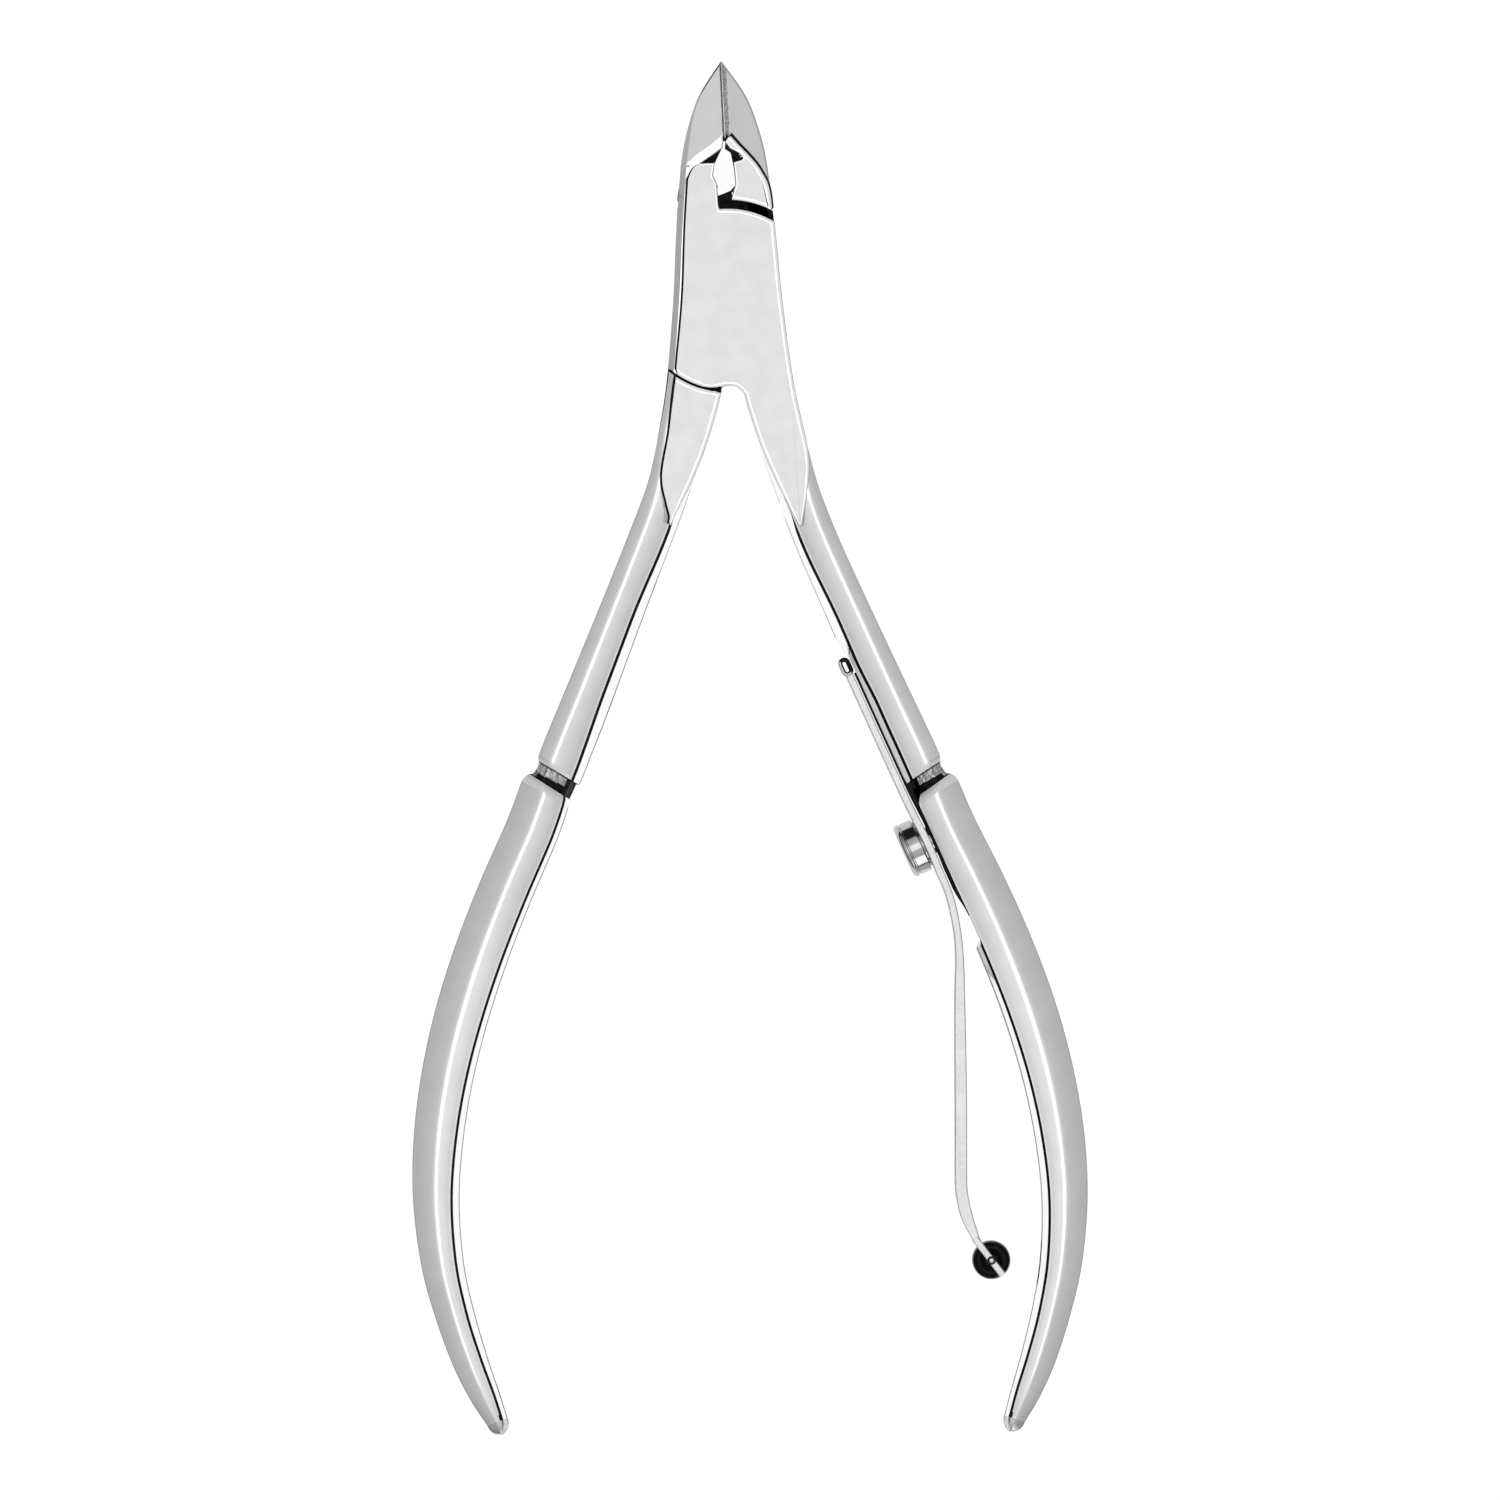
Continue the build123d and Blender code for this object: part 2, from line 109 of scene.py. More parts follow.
SPRING_HEADING = math.radians(22.8)
SCREW_FOOT = (16.08, -45.62)
LEAF_GAP = 0.10
LEAF_THICKNESS = 0.90
LEAF_WIDTH = 4.4
SEAT_ENDS = (-17.1, 9.7)    # the flat seat under the leaf, along the handle from the screw
ROLLER_CENTRE = (19.92, -81.05)
TINE_WAY = (0.584, -0.812)


# ---- curves ------------------------------------------------------------------------------


def smooth(points, per_span):
    """A Catmull-Rom curve through points of any number of values."""
    last = len(points) - 1
    out = []
    for i in range(last):
        around = (points[max(i - 1, 0)], points[i], points[i + 1], points[min(i + 2, last)])
        for step in range(per_span):
            t = step / per_span
            out.append(tuple(catmull_rom(*values, t) for values in zip(*around)))
    return out + [tuple(points[last])]


def catmull_rom(a, b, c, d, t):
    """The curve from b to c at share t, with a and d as its neighbours."""
    bend = 2 * a - 5 * b + 4 * c - d
    twist = 3 * b - a - 3 * c + d
    return 0.5 * (2 * b + (c - a) * t + bend * t * t + twist * t**3)


def straight(points, per_span):
    """Points along straight runs."""
    out = []
    for a, b in zip(points, points[1:]):
        for step in range(per_span):
            out.append(tuple(p + (q - p) * step / per_span for p, q in zip(a, b)))
    return out + [tuple(points[-1])]


def arc(radius, start, end, count):
    """Points round the pivot, between two angles in degrees."""
    angles = [math.radians(start + (end - start) * i / count) for i in range(count + 1)]
    return [(radius * math.cos(a), radius * math.sin(a)) for a in angles]


def spaced(curve, shares):
    """Points at given shares of a curve's length."""
    lengths = [0.0]
    for a, b in zip(curve, curve[1:]):
        lengths.append(lengths[-1] + math.dist(a, b))
    out, i = [], 0
    for share in shares:
        target = share * lengths[-1]
        while i < len(curve) - 2 and lengths[i + 1] < target:
            i += 1
        span = lengths[i + 1] - lengths[i] or 1.0
        t = min(1.0, max(0.0, (target - lengths[i]) / span))
        out.append(tuple(p + (q - p) * t for p, q in zip(curve[i], curve[i + 1])))
    return out


SILHOUETTE = smooth(HALF_WIDTH, 12)


def half_width(y):
    """Half the head's width at a height up the tool."""
    for (x1, y1), (x2, y2) in zip(SILHOUETTE, SILHOUETTE[1:]):
        if y2 <= y <= y1:
            return x1 + (x2 - x1) * (y1 - y) / (y1 - y2)
    return SILHOUETTE[0][0] if y > SILHOUETTE[0][1] else SILHOUETTE[-1][0]


def outline_at(radius):
    """The point of the head's outline, above, at a radius from the pivot."""
    for a, b in zip(SILHOUETTE, SILHOUETTE[1:]):
        near, far = math.hypot(*b), math.hypot(*a)
        if near <= radius <= far:
            t = (far - radius) / (far - near)
            return a[0] + (b[0] - a[0]) * t, a[1] + (b[1] - a[1]) * t


def ease(value, start, end):
    """0 before start and 1 past end, with soft ends. start may be the larger of the two."""
    t = min(1.0, max(0.0, (value - start) / (end - start)))
    return t * t * (3 - 2 * t)


# ---- closed solids as (vertices, faces, kinds) -------------------------------------------


def loft(rings, kind):
    """A closed solid through rings of equal count. kind may be a function of ring and column."""
    count = len(rings[0])
    verts = [p for ring in rings for p in ring]
    faces, kinds = [], []
    for r in range(len(rings) - 1):
        low, high = r * count, (r + 1) * count
        for i in range(count):
            j = (i + 1) % count
            faces.append((low + i, low + j, high + j, high + i))
            kinds.append(kind(r, i) if callable(kind) else kind)
    faces += [tuple(range(count)), tuple(range((len(rings) - 1) * count, len(rings) * count))]
    kinds += [kinds[0], kinds[-1]]
    return verts, faces, kinds


def outward(points):
    """Mitred normals of a counter-clockwise outline."""
    mitre_limit = 0.6
    out = []
    count = len(points)
    for i in range(count):
        before, here, after = points[i - 1], points[i], points[(i + 1) % count]
        first = Vector((here[1] - before[1], before[0] - here[0])).normalized()
        second = Vector((after[1] - here[1], here[0] - after[0])).normalized()
        middle = (first + second).normalized()
        out.append(middle / max(mitre_limit, middle.dot(first)))
    return out


def between(value, share):
    """A width, or the right share between a pair of them."""
    first, last = value if isinstance(value, tuple) else (value, value)
    return first + (last - first) * share


def plate(edges, top, low, face_kind=SATIN):
    """A raised face: each edge is (points, halo, dark). Inside the line, halo is the width that is
    polished over; outside it, dark is the width of the steep chamfer. Either may be a pair of
    widths, for one that tapers. The walls go down to low."""
    apart = 0.02        # nearer points are taken as one
    wide = 0.08         # a wider chamfer is painted dark, as painted shade
    outline = []
    for points, halo, dark in edges:
        for i, point in enumerate(points):
            share = i / max(1, len(points) - 1)
            if not outline or math.dist(point, outline[-1][:2]) > apart:
                outline.append((point[0], point[1], between(halo, share), between(dark, share)))
    if math.dist(outline[0][:2], outline[-1][:2]) < apart:
        outline.pop()
    away = outward(outline)
    sign = 1 if top > low else -1

    def loop(offset, drop):
        ring = []
        for (x, y, halo, dark), n in zip(outline, away):
            d = offset(halo, dark)
            ring.append((x + n.x * d, y + n.y * d, top - sign * drop(halo, dark)))
        return ring

    def roll(halo):
        return EDGE_ROLL * halo

    rings = [
        loop(lambda h, d: -h, lambda h, d: 0),
        loop(lambda h, d: -0.55 * h, lambda h, d: 0.25 * roll(h)),
        loop(lambda h, d: 0, lambda h, d: roll(h)),
        loop(lambda h, d: d, lambda h, d: roll(h) + d * HORIZON_TILT),
        loop(lambda h, d: d + 0.01, lambda h, d: roll(h) + d * HORIZON_TILT + 0.03),
    ]
    rings.append([(x, y, low) for x, y, z in rings[-1]])
    chamfer, wall = 2, 4
    painted_dark = [dark > wide for x, y, halo, dark in outline]

    def kind(r, i):
        # A wide chamfer is painted shade.
        if r == chamfer and painted_dark[i]:
            return DARK
        return WALL if r == wall else POLISHED

    verts, faces, kinds = loft(rings, kind)
    # The top face takes its finish; the face underneath, on the lap, is painted shade.
    kinds[-2], kinds[-1] = face_kind, DARK
    return verts, faces, kinds


def slab(top, bottom, kind):
    """A closed solid between two grids of points. kind is a function of a face's centre, x and y,
    and of whether it is on the top grid."""
    rows, columns = len(top), len(top[0])
    size = rows * columns
    verts = [p for row in top for p in row] + [p for row in bottom for p in row]
    faces, kinds = [], []
    for r in range(rows - 1):
        for c in range(columns - 1):
            a = r * columns + c
            quad = (a, a + 1, a + columns + 1, a + columns)
            x = sum(verts[i][0] for i in quad) / 4
            y = sum(verts[i][1] for i in quad) / 4
            faces += [quad, tuple(size + i for i in reversed(quad))]
            kinds += [kind(x, y, True), kind(x, y, False)]
    rim = list(range(columns))
    rim += [r * columns + columns - 1 for r in range(1, rows)]
    rim += [(rows - 1) * columns + c for c in range(columns - 2, -1, -1)]
    rim += [r * columns for r in range(rows - 2, 0, -1)]
    for i, a in enumerate(rim):
        b = rim[(i + 1) % len(rim)]
        faces.append((a, b, size + b, size + a))
        kinds.append(WALL)
    return verts, faces, kinds


def turned_over(solid):
    """Half a turn about the tool's long axis."""
    verts, faces, kinds = solid
    return [(-x, y, THICKNESS - z) for x, y, z in verts], faces, kinds


# ---- the head ----------------------------------------------------------------------------

# The window's wall on each lever, from the heel of the blades down, lever in front.
FRONT_WALL = [
    (-0.05, 13.19), (-0.14, 12.67), (-0.42, 12.15), (-0.76, 11.45), (-1.00, 10.35), (-0.68, 9.67),
]
REAR_WALL = [
    (-0.20, 13.19), (-0.54, 12.62), (-0.62, 12.10), (-0.74, 11.45), (-0.95, 10.10), (-0.97, 9.60),
]
# The edge between the blade and the raised shoulder behind it, in front and on the far side.
TERRACE_EDGE = [
    (-0.27, 13.60), (-1.04, 13.03), (-2.01, 12.39), (-2.67, 11.90), (-2.88, 11.45), (-3.22, 10.07),
]
HIDDEN_SHOULDER = [
    (-3.92, 7.60), (-3.80, 8.79), (-3.58, 9.72), (-3.20, 10.46),
    (-2.71, 11.25), (-1.99, 12.11), (-1.26, 12.89), (-0.64, 13.62),
]


def parting(y, shift):
    """The jaw's own side of the cutting line, from the tip to the heel."""
    return -PARTING_GAP + shift * (JAW_TIP_Y - y) / (JAW_TIP_Y - HEEL_Y)


def below_line(x, y, a, b):
    """How far a point lies to the lower right of the line from a up to b."""
    length = math.dist(a, b)
    return ((b[0] - a[0]) * (a[1] - y) - (b[1] - a[1]) * (a[0] - x)) / length


def inside_front(x, y):
    """How far a point lies inside the shoulder's slanting edge in front."""
    return below_line(x, y, TERRACE_EDGE[3], TERRACE_EDGE[0])


def inside_back(x, y):
    """How far a point lies inside the shoulder's slanting edge on the far side."""
    return below_line(x, y, HIDDEN_SHOULDER[3], HIDDEN_SHOULDER[-1])


def jaw(window, shift, foot, edge_up):
    """The jaw at full depth, from the tip to its foot round the pivot. edge_up is true where the
    ground bevel of the cutting edge is in front, and false where the hollow is."""
    rows, columns = 150, 44
    foot_right = (FOOT_X, math.sqrt(foot**2 - FOOT_X**2))
    left = [(-x, y) for x, y in SILHOUETTE if y > 0 and math.hypot(x, y) > foot]
    corner = outline_at(foot)
    left.append((-corner[0], corner[1]))
    blade = [(parting(y, shift), y) for y in (19.93, 18, 16, 14, HEEL_Y)]
    right = straight(blade + window + [(FOOT_X, 9.12), foot_right], 6)
    shares = [i / (rows - 1) for i in range(rows)]
    left, right = spaced(left, shares), spaced(right, shares)
    top, bottom = [], []
    # The last rows bow out more and more, so that the foot is an arc round the pivot.
    sag = foot - math.sqrt(foot**2 - (math.dist(left[-1], right[-1]) / 2) ** 2)
    for v, a, b in zip(shares, left, right):
        upper, lower = [], []
        for c in range(columns):
            u = (1 - math.cos(math.pi * c / (columns - 1))) / 2
            x = a[0] + (b[0] - a[0]) * u
            y = a[1] + (b[1] - a[1]) * u + 4 * u * (1 - u) * sag * v**6
            upper.append((x, y, jaw_front(x, y, a, b, edge_up)))
            lower.append((x, y, jaw_back(x, y, a, b, edge_up)))
        top.append(upper)
        bottom.append(lower)

    def kind(x, y, is_top):
        # The floors of the notches beside the window, in front and behind, are painted shade.
        if is_top and y > 11.2 and inside_front(x, y) > 0.3:
            return DARK
        if not is_top and y > 9 and inside_back(x, y) > 0.4:
            return DARK
        if is_top == edge_up and y > 13.3 and parting(y, shift) - x < bevel_width(edge_up):
            return EDGE
        return POLISHED

    return slab(top, bottom, kind)


def side_band(x, y, a):
    """How much the narrow facet along the outside takes off."""
    width = 0.12 + 0.38 * ease(y, 17.0, 11.5)
    slope = 0.58 - 0.27 * ease(y, 10.9, 11.8) * ease(y, 18.5, 15.5)
    return slope * max(0.0, width - math.dist((x, y), a))


def bevel_width(edge_up):
    """How wide the ground bevel is, in front and behind."""
    return 0.17 if edge_up else 0.38


def blade_bevel(x, y, b, edge_up):
    """How much the ground bevel at the cutting edge takes off: steep in front, flatter behind."""
    slope = 0.80 if edge_up else 0.42
    return slope * max(0.0, bevel_width(edge_up) - math.dist((x, y), b)) if y > 13.0 else 0.0


def blade_hollow(x, y):
    """The scoop behind the blades, shallower towards the tip."""
    start, length, depth = 13.0, 6.4, 0.75
    reach = 1.7 - 1.3 * (y - start) / length
    if y < start or reach < 0.1 or abs(x) > reach:
        return 0.0
    towards_tip = 1 - ease(y, 17.0, start + length)
    return depth * math.sqrt(reach**2 - x * x) * towards_tip * ease(y, start, start + 0.3)


def jaw_front(x, y, a, b, edge_up):
    """The front's height between the outline at a and the cutting line or window at b."""
    past_crease = max(0.0, y - 13.6 - 0.75 * (x + 0.3))
    facet = TERRACE - 0.02 - 0.2186 * past_crease
    if y > 10.5:
        facet -= (facet - RECESS) * ease(inside_front(x, y), 0.12, 0.30) * ease(x, -2.6, -2.2)
    facet -= side_band(x, y, a)
    return facet - (blade_bevel(x, y, b, edge_up) if edge_up else blade_hollow(x, y))


def jaw_back(x, y, a, b, edge_up):
    """The back's height between the same two points."""
    past_crease = max(0.0, y - 13.7 - 1.27 * (x + 0.6))
    facet = 0.47 + 0.226 * past_crease
    if y > 9.0:
        facet += (BACK_RECESS - facet) * ease(inside_back(x, y), 0.15, 0.35) * ease(x, -3.2, -2.8)
    facet += 0.3 * max(0.0, 0.14 - math.dist((x, y), a))
    return facet + (blade_hollow(x, y) if edge_up else blade_bevel(x, y, b, edge_up))


def skirt(foot):
    """The forging beside the raised face, from the jaw's foot down to the seam."""
    rows, columns = 60, 24
    crowding = 1.6      # of the columns towards the outer edge, where the facet is
    outer = [(-x, y) for x, y in SILHOUETTE if math.hypot(x, y) < foot and y > -6.2]
    corner = outline_at(foot)
    outer = [(-corner[0], corner[1])] + outer + [(-5.13, -5.61)]
    inner = [(-1.9, math.sqrt(foot**2 - 1.9**2)), (-2.2, 0.0), (-2.6, -7.14)]
    shares = [i / (rows - 1) for i in range(rows)]
    outer, inner = spaced(outer, shares), spaced(straight(inner, 4), shares)
    top, bottom = [], []
    for a, b in zip(outer, inner):
        upper = []
        for c in range(columns):
            u = (c / (columns - 1)) ** crowding
            x = a[0] + (b[0] - a[0]) * u
            y = a[1] + (b[1] - a[1]) * u
            upper.append((x, y, TERRACE - 0.02 - side_band(x, y, a)))
        top.append(upper)
        bottom.append([(x, y, MID + LAP) for x, y, z in upper])
    # Its underside, the lap face that shows in the gap by the other lever, is painted shade.
    return slab(top, bottom, lambda x, y, is_top: POLISHED if is_top else DARK)


def edge_angle(radius):
    """The angle at which a circle round the pivot leaves the head's right side, above."""
    x, y = outline_at(radius)
    return math.degrees(math.atan2(y, x))


def joint_face(wall, top_radius, corner, crotch, neck):
    """The raised face in front: jaw shoulder, half-lap and neck in one. corner is where the top
    arc ends and the window's wall begins."""
    left = [(-2.15, 11.34), (-2.46, 11.13), (-2.74, 10.76), (-3.02, 10.07)]
    below = [(-3.02, 10.07), (-3.38, 5.88), (-3.74, 0.19), (-4.43, -5.67)]
    bottom = [(-2.30, -7.24), (-1.55, -7.36), (-0.87, -7.26)]
    point = [
        (5.60, -19.20), (5.71, -18.85), (6.06, -17.10), (6.30, -15.60), (6.44, -14.15), (6.36, -12.60),
    ]
    side = [(half_width(y) - 0.02, y) for y in (-11.6, -10, -8, -6, -4, -2, 0, 2, 4, 6)]
    lower_wall = [p for p in wall[::-1] if top_radius < p[1] < 11.40]
    edges = [
        ([(-0.80, 11.40), (-1.60, 11.40), (-2.00, 11.38)], 0.12, 0.02),
        (smooth(left, 6), 0.02, (0.03, 0.18)),
        (smooth(below, 8), 0.02, 0.18),
        (arc(7.59, 235, 251, 10), 0.30, 0.01),
        (smooth(bottom + crotch, 4), 0.20, 0.02),
        (smooth(neck, 5), 0.30, 0.02),
        (smooth([neck[-1], (4.95, -18.05), (5.50, -19.05)], 5), (0.30, 0.02), 0.02),
        (smooth(point, 5), (0.02, 0.30), 0.02),
        (smooth(side, 3), 0.32, 0.03),
        (arc(top_radius, edge_angle(top_radius), corner[0], 14), 0.28, 0.03),
        (corner[1] + lower_wall, 0.12, 0.05),
    ]
    return plate(edges, THICKNESS, MID + LAP)


def terrace(wall):
    """The level strip outside the raised face, from the cutting line to the seam."""
    outer = [(-half_width(y) + 0.47, y) for y in (9.2, 8, 6, 4, 2, 0, -2, -4, -5.85)]
    inner = [(-3.9, -5.9), (-3.2, 0.0), (-2.9, 5.5), (-2.6, 9.0), (-2.3, 10.6)]
    edges = [
        (smooth(TERRACE_EDGE + outer, 4), 0.06, 0.02),
        (arc(7.58, 231.5, 236, 3), 0.05, 0.01),
        (inner, 0.05, 0.01),
        ([(-1.98, 11.46), (-1.0, 12.10), (-0.15, 12.70), wall[0], (-0.06, 13.56)], 0.16, 0.03),
    ]
    return plate(edges, TERRACE, MID + LAP, face_kind=POLISHED)


def hidden_jaw_face(wall, foot):
    """The raised face on the far side of the jaw."""
    shoulder = [p for p in smooth(HIDDEN_SHOULDER, 6) if math.hypot(*p) > foot]
    foot_angle = math.degrees(math.atan2(shoulder[0][1], shoulder[0][0]))
    notch = [(-0.85, 11.42), (-1.52, 11.60), (-1.66, 11.78), (-1.33, 12.20), (-0.56, 12.66)]
    lower_wall = [p for p in wall[::-1] if foot + 0.1 < p[1] < 11.4]
    edges = [
        (shoulder[::-1], (0.26, 0.36), (0.26, 0.15)),
        (arc(foot, foot_angle, 94.2, 10), 0.26, 0.03),
        ([(FOOT_X, foot + 0.15)] + lower_wall, 0.12, 0.05),
        (notch, 0.10, 0.02),
        ([(-0.20, 13.19), (-0.42, 13.52)], 0.12, 0.03),
    ]
    return plate(edges, 0.0, 2.0)


def hidden_neck_face(neck):
    """The raised face on the far side of the neck."""
    outer = [
        (5.38, -18.56), (5.32, -17.95), (5.56, -16.88), (5.87, -14.61),
        (5.17, -10.94), (4.77, -8.00), (4.50, -6.38),
    ]
    edges = [
        (smooth(neck, 5), 0.30, 0.02),
        (smooth([neck[-1], (4.80, -17.75), (5.28, -18.72)], 5), (0.30, 0.02), 0.02),
        (smooth(outer, 6), 0.02, 0.20),
        (arc(7.81, 304.8, 283.5, 10), 0.30, 0.01),
        ([(1.30, -7.75)], 0.20, 0.01),
    ]
    return plate(edges, 0.0, MID - LAP)


# Where each lever's front half-lap ends below, and the inner edge of its neck.
FRONT_CROTCH = [(-0.35, -7.17), (0.30, -7.20), (0.73, -7.40), (1.05, -7.70)]
FRONT_NECK = [(1.23, -8.00), (1.62, -9.58), (2.60, -12.70), (3.75, -15.50)]
REAR_CROTCH = [(-0.35, -7.17), (0.30, -7.18), (0.64, -7.26), (0.75, -7.48)]
REAR_NECK = [(0.78, -7.84), (1.41, -10.03), (2.45, -13.00), (3.70, -15.75)]


def head(wall, shift, top_radius, corner, foot, edge_up, crotch, neck):
    """Everything of a lever's head but the neck's core, as it lies in front. shift is how far its
    cutting line moves across by the heel, and foot is the radius at which its jaw ends."""
    return [
        jaw(wall, shift, foot, edge_up),
        skirt(foot),
        terrace(wall),
        joint_face(wall, top_radius, corner, crotch, neck),
        hidden_jaw_face(wall, foot),
        hidden_neck_face(neck),
    ]


# ---- the handles -------------------------------------------------------------------------


def rounded(corners, radii):
    """An open line with its corners rounded off, by four points each."""
    steps = 3
    out = [corners[0]]
    for before, here, after, radius in zip(corners, corners[1:], corners[2:], radii):
        here = Vector(here)
        into, off = Vector(before) - here, Vector(after) - here
        start = here + into.normalized() * min(radius, into.length * 0.45)
        end = here + off.normalized() * min(radius, off.length * 0.45)
        for step in range(steps + 1):
            t = step / steps
            out.append(tuple(start * (1 - t) ** 2 + here * 2 * t * (1 - t) + end * t * t))
    return out + [corners[-1]]


def handle_profile(width, depth, y, edge, bevel_slope):
    """Half a section, from the middle of the outer wall to the middle of the inner one:
    (distance in from the outer edge, height over the middle plane). Three facets and a ridge,
    then a narrow step and an inner bevel. edge is the width of the step and the bevel, and
    bevel_slope how much the bevel falls across its width."""
    share = ease(-y, *NECK)
    low = ease(-y, *WAIST_END)
    half = depth / 2
    ridge = width * (0.12 + 0.18 * share + 0.17 * low)
    lip = 0.10 * share
    bevel = width - edge
    dark = min(0.02 + 0.22 * ease(-y, 17.5, 19.5) - 0.03 * low, edge * 0.5)
    rim, outer_rim = 0.10 * share, 0.06 * share
    slope = 0.05 + 0.95 * share - 0.36 * ease(-y, 44.0, 60.0)
    span = bevel - lip - ridge
    outer_drop = ridge * (0.46 - 0.06 * share + 0.04 * low)
    first, second, third = 0.38 * span, 0.36 * span, 0.26 * span
    drops = [first * 0.20 * slope, second * 0.29 * slope, third * 0.42 * slope]
    lip_z = half - sum(drops)
    dark_z = lip_z - dark * HORIZON_TILT
    bevel_z = dark_z - min((edge - dark - rim) * bevel_slope, dark_z * 0.85 - rim * HORIZON_TILT)
    corners = [
        (0, 0),
        (0, half - outer_drop - outer_rim * HORIZON_TILT),
        (outer_rim, half - outer_drop),
        (ridge * 0.5, half - outer_drop * 0.48),
        (ridge, half),
        (ridge + first, half - drops[0]),
        (ridge + first + second, half - drops[0] - drops[1]),
        (bevel - lip, lip_z),
        (bevel, lip_z),
        (bevel + dark, dark_z),
        (width - rim, bevel_z),
        (width, bevel_z - rim * HORIZON_TILT),
        (width, 0),
    ]
    crisp = 0.02
    radii = [0.04, 0.10, 0.30 * ridge, 0.055 * width, 0.10 * width, 0.08 * width] + [crisp] * 5
    return rounded(corners, radii)


def edge_width(width, y, side):
    """How wide the step and the inner bevel are together."""
    upper = width * (0.03 + 0.17 * ease(-y, *NECK)) + 0.22 * ease(-y, 20.0, 27.0)
    upper += 0.20 * ease(-y, 30.0, 34.0) if side > 0 else -0.20 * ease(-y, 33.0, 39.5)
    lower = 0.60 + 0.15 * ease(-y, 50.0, 75.0) - 0.17 * ease(-y, 84.0, 92.0)
    return upper + (lower - upper) * ease(-y, *WAIST_END)


# Columns of a section, counted from the outer wall round the front: the lip, painted bright as a
# highlight, the step, painted dark as shade, and the inner wall. The rest, back to the last column,
# mirror them behind.
LIP_COLUMNS = range(27, 30)
STEP_COLUMNS = range(30, 35)
WALL_COLUMN = 44
LAST_COLUMN = 89

# Rings counted from the start of the waist: all of the filed groove, whose ends are painted shade, its
# scratched floor, and the whole waist, which carries a painted highlight beside the groove.
GROOVE_RINGS = range(5, 30)
FLOOR_RINGS = range(10, 25)
WAIST_RINGS = range(36)

# How much the inner bevel falls across its width, and how much less beside the leaf, where it is
# flatter and carries a painted highlight.
BEVEL_FALL = 3.2
FLAT_BEVEL_LESS = 3.13


def beside_leaf(y, side):
    """1 along the leaf's upper half, where the bevel is flatter and carries a painted highlight, and 0
    elsewhere.
    """
    return ease(-y, *FLAT_BEVEL_START) * ease(y, -FLAT_BEVEL_END[1], -FLAT_BEVEL_END[0]) if side > 0 else 0.0


def on_seat(x, y, z):
    """Trims the right handle's inner side flat where the leaf lies, with relieved edges. Above
    the screw the flat lies a little further in."""
    dx, dy = x - SCREW_FOOT[0], y - SCREW_FOOT[1]
    inward = -dx * math.cos(SPRING_HEADING) - dy * math.sin(SPRING_HEADING)
    along = dx * math.sin(SPRING_HEADING) - dy * math.cos(SPRING_HEADING)
    inward += 0.03 if abs(z) > 1.4 else 0.0
    inward -= 0.22 * ease(along, -3.5, -6.0)
    if inward <= 0 or not SEAT_ENDS[0] < along < SEAT_ENDS[1]:
        return x, y
    return x + inward * math.cos(SPRING_HEADING), y + inward * math.sin(SPRING_HEADING)


def handle_ring(station, side):
    """The section at a station. On the right it is shifted, leaned and trimmed for the leaf."""
    x0, y0, heading, width, depth = station
    angle = math.radians(heading)
    lean = drop = 0.0
    if side > 0:
        lean = RIGHT_LEAN * min(0.0, y0 + 16)
        drop = RIGHT_DROP * ease(-y0, 12.0, 22.0)
        inset = 0.30 * ease(y0, -14.0, -8.0)
        x0, width = x0 + inset, width - inset
    crowned = depth + 0.80 * ease(y0, -23.0, -15.0)
    front_depth, rear_depth = (crowned, depth) if side > 0 else (depth, crowned)
    edge = min(edge_width(width, y0, side), 0.42 * width)
    bevel_slope = BEVEL_FALL - FLAT_BEVEL_LESS * beside_leaf(y0, side)
    behind = handle_profile(width, rear_depth, y0, edge, bevel_slope)
    outline = handle_profile(width, front_depth, y0, edge, bevel_slope)
    outline += [(u, -z) for u, z in behind[-2:0:-1]]
    ring = []
    for u, z in outline:
        x = x0 + lean + (width - u) * math.cos(angle)
        y = y0 - drop + (width - u) * math.sin(angle)
        if side > 0:
            x, y = on_seat(x, y, z)
        ring.append((side * x, y, MID + z))
    return ring


def handle_tip(station):
    """Narrowing sections that round off the end in plan."""
    steps, last_turn = 7, math.radians(86)
    x0, y0, heading, width, depth = station
    length = 0.62 * width
    angle = math.radians(heading)
    out = []
    for step in range(1, steps + 1):
        turn = last_turn * step / steps
        size, reach = math.cos(turn), length * math.sin(turn)
        aside = width * (1 - size) / 2
        x = x0 + aside * math.cos(angle) + reach * math.sin(angle)
        y = y0 + aside * math.sin(angle) - reach * math.cos(angle)
        out.append((x, y, heading, width * size, depth * (0.55 + 0.45 * size)))
    return out


def scored(ring):
    """A filed section, with scratches that run along the handle."""
    depths = [1 - 0.04 * (i * 29 % 13) / 13 for i in range(len(ring))]
    return [(x, y, MID + (z - MID) * depth) for (x, y, z), depth in zip(ring, depths)]


